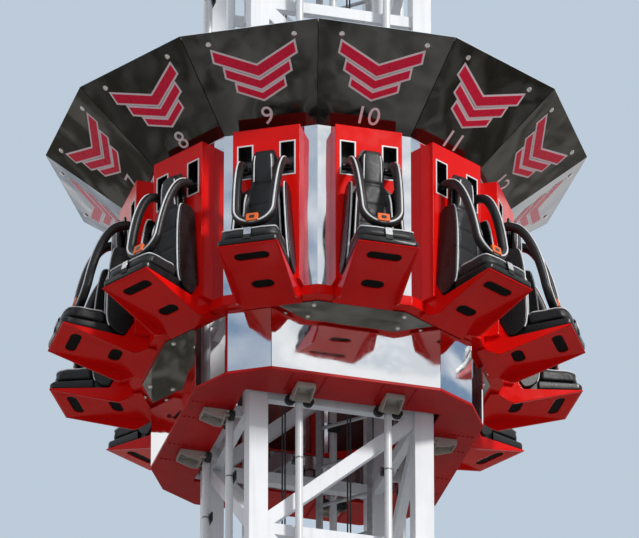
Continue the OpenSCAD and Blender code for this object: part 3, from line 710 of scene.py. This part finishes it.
def filled(name, shape, voxel, cap):
    """The shape remeshed and blown up by a cloth run, each point moved by cap at most, as
    points and faces."""
    holder = as_object(name, shape)
    remesh = holder.modifiers.new("even", "REMESH")
    remesh.mode, remesh.voxel_size = "VOXEL", voxel
    even = bpy.data.meshes.new_from_object(evaluated(holder))
    holder.modifiers.clear()
    holder.data = even
    rest = after = points_of(even)
    cloth = holder.modifiers.new("fill", "CLOTH")
    recipe = cloth.settings
    recipe.quality, recipe.use_pressure, recipe.uniform_pressure_force = 4, True, 4.0
    recipe.tension_stiffness, recipe.bending_stiffness = 30.0, 2.0
    recipe.effector_weights.gravity = 0.0
    last_frame = 20
    cloth.point_cache.frame_start, cloth.point_cache.frame_end = 1, last_frame
    for step in range(1, last_frame + 1):
        scene.frame_set(step)
    after = points_of(evaluated(holder).data)
    scene.frame_set(1)
    move = after - rest
    far = np.linalg.norm(move, axis=1, keepdims=True)
    points = rest + move * np.minimum(1.0, cap / np.maximum(far, 1e-9))
    faces = np.empty(len(even.loops), int)
    even.loops.foreach_get("vertex_index", faces)
    bpy.data.objects.remove(holder)
    return points, [faces.reshape(-1, 4)]


def laid(path, points, axis, span=5):
    """A path laid on a surface: along axis it takes the surface's highest point within 9 mm,
    less 1 mm, evened out over span neighbours."""
    path = np.array(path, float)
    others = [k for k in range(3) if k != axis]
    near = np.linalg.norm(path[:, None, others] - points[None, :, others], axis=2) < 0.009
    high = np.where(near, points[None, :, axis], -np.inf).max(1)
    high = np.where(near.any(1), high - 0.001, path[:, axis])
    path[:, axis] = np.convolve(np.pad(high, span // 2, "edge"), np.full(span, 1 / span), "valid")
    return path


def swell(value, at, wide):
    """A smooth hump: e to the power of minus the square of (value - at) / wide."""
    return np.exp(-((value - at) / wide) ** 2)


# The seat cushion, seen from the side: rear, underside, front, nose and top
seat_side = np.array([(1.382, -1.103), (1.453, -1.111), (1.600, -1.100), (1.706, -1.091),
                      (1.733, -1.096), (1.741, -1.068), (1.724, -1.028), (1.680, -1.014),
                      (1.600, -1.018), (1.520, -1.022), (1.410, -1.031), (1.382, -1.044)])
seat_half = 0.170
across_seat = seat_half * np.sin(np.linspace(-np.pi / 2, np.pi / 2, 21))
middle = seat_side.mean(0)


def fullness(v):
    """How full the cushion's side view is at a distance v from its middle: it falls with the
    sixth power of v, from 1 to about 0.66 at the sides."""
    return 1.0 - 0.40 * (np.abs(v) / (seat_half * 1.03)) ** 6


shrunk = middle + (seat_side - middle)[None] * fullness(across_seat)[:, None, None]
seat_v = np.repeat(across_seat[:, None, None], len(seat_side), 1)
seat_rings = np.concatenate([shrunk[:, :, :1], seat_v, shrunk[:, :, 1:]], 2)
seat_points, seat_faces = filled("seat_form", closed_form(seat_rings), 0.008, 0.008)
from_side = seat_half - np.abs(seat_points[:, 1])
on_top = np.clip((seat_points[:, 2] + 1.052) / 0.018, 0, 1)
channel_in, channel_u = 0.062, 1.560
channel = (swell(from_side, channel_in, 0.005)
           + swell(seat_points[:, 0], channel_u, 0.005) * (from_side > channel_in))
bolster = 0.012 * swell(from_side, 0.028, 0.024)
seat_points[:, 2] += on_top * (bolster - 0.007 * channel)


def nose_width(u):
    """How much wider the cushion is at u: from 1 between the wings to 1.16 in front of them,
    by the smooth step 3t^2 - 2t^3."""
    t = np.clip((u - 1.455) / 0.022, 0, 1)
    return 1 + 0.16 * (3 * t ** 2 - 2 * t ** 3)


seat_points[:, 1] *= nose_width(seat_points[:, 0])
seat_pads = piece("seat_cushion_pads", at_seats((seat_points, seat_faces)), "carriage", vinyl,
                  crease=80.0)
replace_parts(seat_pads, "seat_cushions")

# The back cushion's heights, half widths and depths, from the hips up to the headrest
heights, widths, depths = np.array([
    (-1.042, 0.135, 0.012), (-1.036, 0.158, 0.022), (-1.010, 0.164, 0.028), (-0.900, 0.156, 0.030),
    (-0.780, 0.149, 0.030), (-0.660, 0.141, 0.029), (-0.580, 0.132, 0.028), (-0.545, 0.118, 0.027),
    (-0.520, 0.096, 0.025), (-0.500, 0.086, 0.025), (-0.470, 0.082, 0.026), (-0.400, 0.081, 0.027),
    (-0.330, 0.079, 0.026), (-0.280, 0.071, 0.021), (-0.252, 0.056, 0.014), (-0.245, 0.040, 0.008)]).T
fine = np.linspace(0, 1, 70)
stations = np.linspace(0, 1, len(heights))
h, w, d = (np.interp(fine, stations, values) for values in (heights, widths, depths))
unit_ring = superellipse(44, 3.2)
back_gap, back_deep = 0.002, 0.026
back_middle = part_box("seat_backs")[1].x + back_gap + back_deep
back_rings = np.stack([back_middle + d[:, None] * unit_ring[None, :, 0] * 0.85,
                       w[:, None] * unit_ring[None, :, 1], np.repeat(h[:, None], 44, 1)], 2)[:, ::-1]
back_points, back_faces = filled("back_form", closed_form(back_rings), 0.010, 0.006)
share = np.abs(back_points[:, 1]) / np.interp(back_points[:, 2], heights, widths)
in_front = np.clip((back_points[:, 0] - back_middle) / 0.012, 0, 1)
body_part = np.clip((-0.55 - back_points[:, 2]) / 0.08, 0, 1)
wing_swell = 0.028 * swell(share, 0.82, 0.13) * body_part
seam_levels, groove_at = np.array([-0.66, -0.80, -0.94]), 0.60
cross_seams = swell(back_points[:, 2:], seam_levels, 0.006).sum(1) * (share < groove_at)
groove = 0.008 * body_part * (swell(share, groove_at, 0.035) + cross_seams)
neck = 0.006 * swell(back_points[:, 2], -0.505, 0.010)
back_points[:, 0] += in_front * (wing_swell - groove - neck)
back_pads = piece("back_cushion_pads", at_seats((back_points, back_faces)), "carriage", vinyl,
                  crease=80.0)
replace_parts(back_pads, "back_cushions")

# Cushion piping
# It runs down both bolsters of the back, down both sides of the headrest, and round the seat's
# top edge from one rear corner over the nose to the other. Each line is laid on its cushion.


def down_back(top, long, across_share, out):
    """A line down the back cushion's front, long from the height top, at a share of its half
    width. Where the cushion isn't met it stays at out."""
    z = top - long * np.linspace(0, 1, 40)
    flat = [np.full(40, out), np.interp(z, heights, widths) * across_share, z]
    return laid(np.column_stack(flat), back_points, 0)


rim_v, nose_u = seat_half - 0.018, 1.719
nose_v = np.linspace(rim_v, 0, 40)
nose_line = np.column_stack([middle[0] + (nose_u - middle[0]) * fullness(nose_v), nose_v])
side_line = np.column_stack([np.linspace(1.400, nose_line[0, 0] - 0.006, 40), np.full(40, rim_v)])
half_line = np.vstack([side_line, nose_line])
seat_line = np.vstack([half_line, half_line[-2::-1] * (1, -1)])
seat_line[:, 1] *= nose_width(seat_line[:, 0])
for column in (0, 1):
    seat_line[2:-2, column] = np.convolve(seat_line[:, column], np.full(5, 0.2), "valid")
seat_line = laid(np.column_stack([seat_line, np.full(len(seat_line), -1.02)]), seat_points, 2, 13)
lines = joined([both_sides(tube(down_back(-0.575, 0.43, 0.82, 1.36), 0.0058)),
                both_sides(tube(down_back(-0.29, 0.19, 0.72, 1.34), 0.0045)), tube(seat_line, 0.0050)])
piece("cushion_piping", at_seats(lines), "carriage", piping_paint, crease=80.0)

# Seat straps: black webbing with a metal tongue
# A short strap is bolted under each seat's nose, runs up over it and holds the foot of the
# restraint's loop. It stays with the seat when the loop is lifted.

webbing = finish("strap_webbing", (0.014, 0.014, 0.015), 0.55, (0.55, 0.75), cloud=60.0, grain=900.0,
                 depth=0.0006)
zinc_tongue = finish("strap_tongue", (0.70, 0.70, 0.71), 0.8, (0.2, 0.35), metallic=1.0, cloud=40.0)
strap_half, strap_thick = 0.024, 0.0035
strap_way = smooth(np.array([(1.600, -0.962), (1.628, -0.974), (1.660, -0.990), (1.690, -1.003),
                             (1.713, -1.0145), (1.730, -1.030), (1.738, -1.058), (1.746, -1.088),
                             (1.7505, -1.118)]), 5)
strap_turn = unit(np.gradient(strap_way, axis=0))
strap_out = strap_turn[:, ::-1] * (-1, 1)
section = np.array([(-1, 0), (1, 0), (1, 1), (-1, 1)]) * (strap_half, strap_thick)
strap_path, strap_lift = np.insert(strap_way, 1, 0.0, 1), np.insert(strap_out, 1, 0.0, 1)
strap = carried(strap_path, section, strap_path * 0 + (0, 1, 0), strap_lift)
(tongue_u, tongue_z), (turn_u, turn_z) = strap_way[30], strap_turn[30]
tongue = placed(slab(rounded(0.046, 0.060, 0.006), strap_thick, strap_thick + 0.003),
                (tongue_u, 0, tongue_z), (0, 1, 0), (-turn_u, 0, -turn_z))
piece("seat_straps", at_seats(strap), "carriage", webbing, edge=0.0008)
piece("strap_tongues", at_seats(tongue), "carriage", zinc_tongue, edge=0.0008)

# Restraints: padded loops on two steel arms
# A steel tube bent into a long loop, hinged on shafts in the panel's windows and covered
# in moulded foam. One pale line of piping runs down one side, round the foot and up the
# other, and an orange buckle sits at the loop's foot.

pivot_u, pivot_z = panel_front - 0.034, -0.330
arm_drop = 0.470
# One arm from its hub down: the way out, the share of the drop, and the way in to the middle
arm = np.array([(0.010, 0, 0), (0.034, -0.006, 0), (0.062, -0.017, 0), (0.100, -0.034, 0.001),
                (0.148, -0.081, 0.003), (0.192, -0.179, 0.005), (0.232, -0.328, 0.008),
                (0.266, -0.502, 0.011), (0.292, -0.681, 0.014), (0.312, -0.851, 0.017),
                (0.326, -1, 0.020)])
arm = np.column_stack([pivot_u + arm[:, 0], window_mid - arm[:, 2], pivot_z + arm[:, 1] * arm_drop])
bend_way = np.array((0.23, 0.0, -0.973)) / math.hypot(0.23, 0.973)
low, bend_r = arm[-1], arm[-1][1]
sweep = np.radians(np.arange(15, 166, 15))[:, None]
bend = low * (1, 0, 1) + bend_way * bend_r * np.sin(sweep) + np.array((0, 1.0, 0)) * bend_r * np.cos(sweep)
loop = np.vstack([arm, bend, arm[::-1] * (1, -1, 1)])
slope = unit(np.gradient(arm[:, [0, 2]], axis=0))
normal = np.column_stack([-slope[:, 1], np.zeros(len(arm)), slope[:, 0]])
bend_normal = np.repeat([(-bend_way[2], 0.0, bend_way[0])], len(bend), 0)
each = 6
line, across = smooth(loop, each), smooth(np.vstack([normal, bend_normal, normal[::-1]]), each)
along = unit(np.gradient(line, axis=0))
across = unit(across - (across * along).sum(1, keepdims=True) * along)
beside = np.cross(along, across)
steps = np.arange(len(line))
run = np.minimum(steps, steps[::-1]) / each
thick = np.interp(run, (0, 1.6, 1.8, 2.3, 40), (0.40, 0.62, 0.86, 1.0, 1.0))
pad_from = int(1.7 * each)
oval = superellipse(28, 2.6)


def swept(some, half_t, half_w, scale):
    """Oval rings along a stretch of the loop: half_t across it front to back and half_w from
    side to side, times scale."""
    return carried(line[some], scale[some, None, None] * oval * (half_t, half_w), across[some], beside[some])


foam = swept(slice(pad_from, len(line) - pad_from), 0.028, 0.029, thick)
bare = (slice(0, pad_from + 2), slice(len(line) - pad_from - 2, len(line)))
steel = joined([swept(some, 0.0125, 0.0125, np.ones(len(line))) for some in bare])
hub_profile = [(0.0126, -0.03), (0.023, -0.03), (0.024, -0.029), (0.024, 0.029), (0.023, 0.03),
               (0.0126, 0.03)]
hubs = pair(lathe(hub_profile, 28), pivot_u, window_mid, pivot_z, *UPRIGHT)
span = slice(pad_from + 8, len(line) - pad_from - 8)
front_pipe = tube(line[span] + 0.0258 * across[span] - 0.009 * beside[span], 0.0065, 8)

buckle_at = low * (1, 0, 1) + bend_way * (bend_r - 0.020)
buckle = placed(slab(rounded(0.080, 0.062, 0.008), 0.020, 0.040), buckle_at, (0, 1, 0), -bend_way)
button = placed(slab(rounded(0.034, 0.024, 0.006), 0.040, 0.043), buckle_at, (0, 1, 0), -bend_way)
orange = finish("buckle_orange", (0.90, 0.15, 0.015), 0.85, (0.28, 0.4), cloud=20.0, shine=0.4)
restraint_foam = finish("restraint_foam", (0.012, 0.012, 0.013), 0.65, (0.32, 0.46), cloud=7.0,
                        grain=650.0, depth=0.0007, shine=0.4)
satin_steel = finish("arm_steel", (0.05, 0.05, 0.055), 0.7, (0.25, 0.4), metallic=0.7, cloud=15.0)
PARTS = (("arms", joined([steel, hubs]), satin_steel, "cable_steel", 0.0, 35.0),
         ("loop_piping", front_pipe, piping_paint, "mast_white", 0.0, 80.0),
         ("buckle", buckle, orange, "panel_red", 0.003, 35.0),
         ("buckle_button", button, black_gloss, "seat_black", 0.001, 35.0))
for count, angle in enumerate(SEATS):
    number = "%02d" % (count + 1)
    body = "restraint_" + number
    pad = piece("pad_" + number, at_seat(foam, angle), body, restraint_foam,
                crease=80.0)
    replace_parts(pad, body)
    for name, shape, material, slot, edge, crease in PARTS:
        piece(name + "_" + number, at_seat(shape, angle), body, material, edge, crease)

# Studio floor
# A pale round floor under the mast. What mirrors it sees patches of dark and light ground, and
# what it lights from below gets a darker tone.

floor_paint = finish("studio_floor", (0.74, 0.76, 0.79), 0.97, (0.6, 0.7), cloud=0.4, depth=0.0001)
floor_tree = floor_paint.node_tree
floor_ray = node(floor_tree, "LightPath").outputs
floor_cloud = noise(floor_tree, object_place(floor_tree), 1.6, 3.0)
floor_mirrored = blend(floor_tree, between(floor_tree, floor_cloud, 0.45, 0.56),
                       (0.05, 0.05, 0.045, 1.0), (0.74, 0.72, 0.66, 1.0))
repaint(floor_paint, floor_ray["Is Glossy Ray"], floor_mirrored)
repaint(floor_paint, floor_ray["Is Diffuse Ray"], (0.22, 0.22, 0.23, 1.0))
floor_r = 7.6
floor_piece = as_object("studio_floor", lathe([(floor_r, -0.02), (floor_r, 0.0)], 128))
floor_piece.data.materials.append(floor_paint)

# Studio light: sky and sun
# An even pale sky, weaker from below, and a soft sun from the front right. Mirrored rays see
# clouds above the horizon and patchy ground below it, and the camera sees plain pale blue.

world = bpy.data.worlds.new("studio")
scene.world = world
world.use_nodes = True
sky = world.node_tree
back = sky.nodes["Background"]
toward = node(sky, "TexCoord").outputs["Generated"]
upwards = node(sky, "SeparateXYZ", {"Vector": toward}).outputs["Z"]
ray = node(sky, "LightPath").outputs
mirrored = calc(sky, "MAXIMUM", ray["Is Glossy Ray"], ray["Is Transmission Ray"])
seen = calc(sky, "MAXIMUM", ray["Is Camera Ray"], mirrored)
soft_level = between(sky, upwards, -0.85, 0.35, 0.12, 0.72)
mirror_level = between(sky, upwards, -0.10, 0.14, 0.62, 0.95)
shown_level = blend(sky, mirrored, 1.0, mirror_level, "FLOAT")
strength = blend(sky, seen, soft_level, shown_level, "FLOAT")
clouds = between(sky, noise(sky, toward, 3.4, 5.0, (1.0, 1.0, 1.6)), 0.38, 0.55)
cloudy = blend(sky, clouds, (0.20, 0.30, 0.45, 1.0), (1.0, 1.0, 1.0, 1.0))
patches = between(sky, noise(sky, toward, 9.0, 3.0), 0.42, 0.58)
ground = blend(sky, patches, (0.16, 0.15, 0.12, 1.0), (1.0, 0.97, 0.90, 1.0))
above = between(sky, upwards, -0.06, 0.02)
backdrop = blend(sky, mirrored, (0.51, 0.60, 0.70, 1.0), blend(sky, above, ground, cloudy))
sky.links.new(blend(sky, seen, (0.93, 0.96, 1.0, 1.0), backdrop), back.inputs["Color"])
sky.links.new(strength, back.inputs["Strength"])

sun = bpy.data.lights.new("soft_sun", "SUN")
sun.energy, sun.angle, sun.color = 2.3, math.radians(8), (1.0, 0.98, 0.95)
sun_holder = bpy.data.objects.new("soft_sun", sun)
sun_holder.rotation_euler = Vector((0.42, -0.72, 0.55)).to_track_quat("Z", "Y").to_euler()
scene.collection.objects.link(sun_holder)

# Camera
# It stands far off in front and below, as in the photograph, and looks up at the carriage.

azimuth, elevation, distance = math.radians(-15.38), math.radians(-29.18), 65.06
behind = Vector((math.sin(azimuth) * math.cos(elevation), -math.cos(azimuth) * math.cos(elevation),
                 math.sin(elevation)))
right = Vector((math.cos(azimuth), math.sin(azimuth), 0.0))
up = behind.cross(right)
view_z, view_right, view_down = 6.72, 0.0203, 0.3435
aim = Vector((0, 0, view_z)) + right * view_right - up * view_down
lens = bpy.data.cameras.new("camera")
lens.sensor_width, lens.lens, lens.clip_end = 36.0, 560.1, 500.0
camera = bpy.data.objects.new("camera", lens)
camera_axes = Matrix([right, up, behind]).transposed().to_4x4()
camera.matrix_world = Matrix.Translation(aim + behind * distance) @ camera_axes
scene.collection.objects.link(camera)
scene.camera = camera
scene.view_settings.view_transform = "Standard"

bpy.context.view_layer.update()
